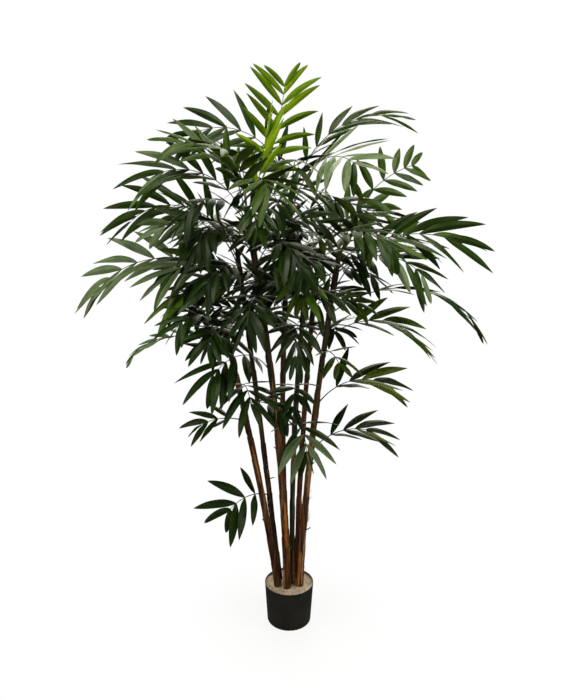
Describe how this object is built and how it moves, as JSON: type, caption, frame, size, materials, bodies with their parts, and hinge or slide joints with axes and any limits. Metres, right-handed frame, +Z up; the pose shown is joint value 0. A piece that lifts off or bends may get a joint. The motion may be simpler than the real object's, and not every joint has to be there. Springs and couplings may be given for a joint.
{
  "type": "potted artificial bamboo palm",
  "caption": "Tall artificial palm in a plain round nursery pot: slender brown canes fanning up into a wide crown of arching feathered fronds.",
  "frame": {"origin": "centre of the pot's flat underside", "axes": "+Z straight up the plant; -Y is the side that faces the viewer in the picture, +X is to that viewer's right"},
  "size_m": [1.5339, 1.1251, 2.1387],
  "materials": {
    "pot": "dark moulded plastic, satin",
    "fill": "trowelled cement, matte",
    "cane": "dried fibrous natural cane",
    "leaf_young": "printed woven leaf, light yellow-green, satin",
    "leaf_grown": "printed woven leaf, mid green, satin",
    "leaf_old": "printed woven leaf, deep green, satin"
  },
  "bodies": {
    "root": {"centre_cane": "cane", "centre_frond_1": "leaf_grown", "centre_frond_2": "leaf_old", "centre_frond_3": "leaf_old", "centre_frond_4": "leaf_grown", "centre_frond_5": "leaf_grown", "fill": "fill", "left_inner_cane": "cane", "left_inner_frond_1": "leaf_old", "left_inner_frond_2": "leaf_old", "left_inner_frond_3": "leaf_grown", "left_inner_frond_4": "leaf_old", "left_inner_frond_5": "leaf_grown", "left_inner_frond_6": "leaf_grown", "left_inner_frond_7": "leaf_old", "left_outer_cane": "cane", "left_outer_frond_1": "leaf_old", "left_outer_frond_2": "leaf_old", "left_outer_frond_3": "leaf_old", "left_outer_frond_4": "leaf_old", "left_outer_frond_5": "leaf_old", "left_outer_frond_6": "leaf_old", "left_outer_frond_7": "leaf_old", "middle_back_cane": "cane", "middle_back_frond_1": "leaf_old", "middle_back_frond_2": "leaf_old", "middle_back_frond_3": "leaf_grown", "middle_back_frond_4": "leaf_grown", "middle_back_frond_5": "leaf_grown", "middle_back_frond_6": "leaf_grown", "middle_front_cane": "cane", "middle_front_frond_1": "leaf_old", "middle_front_frond_10": "leaf_grown", "middle_front_frond_11": "leaf_grown", "middle_front_frond_12": "leaf_young", "middle_front_frond_2": "leaf_old", "middle_front_frond_3": "leaf_old", "middle_front_frond_4": "leaf_old", "middle_front_frond_5": "leaf_old", "middle_front_frond_6": "leaf_grown", "middle_front_frond_7": "leaf_grown", "middle_front_frond_8": "leaf_old", "middle_front_frond_9": "leaf_grown", "pot": "pot", "right_back_cane": "cane", "right_back_frond_1": "leaf_old", "right_back_frond_2": "leaf_grown", "right_back_frond_3": "leaf_grown", "right_back_frond_4": "leaf_grown", "right_outer_cane": "cane", "right_outer_frond_1": "leaf_old", "right_outer_frond_10": "leaf_grown", "right_outer_frond_2": "leaf_old", "right_outer_frond_3": "leaf_grown", "right_outer_frond_4": "leaf_grown", "right_outer_frond_5": "leaf_old", "right_outer_frond_6": "leaf_old", "right_outer_frond_7": "leaf_grown", "right_outer_frond_8": "leaf_grown", "right_outer_frond_9": "leaf_grown"}
  },
  "joints": []
}
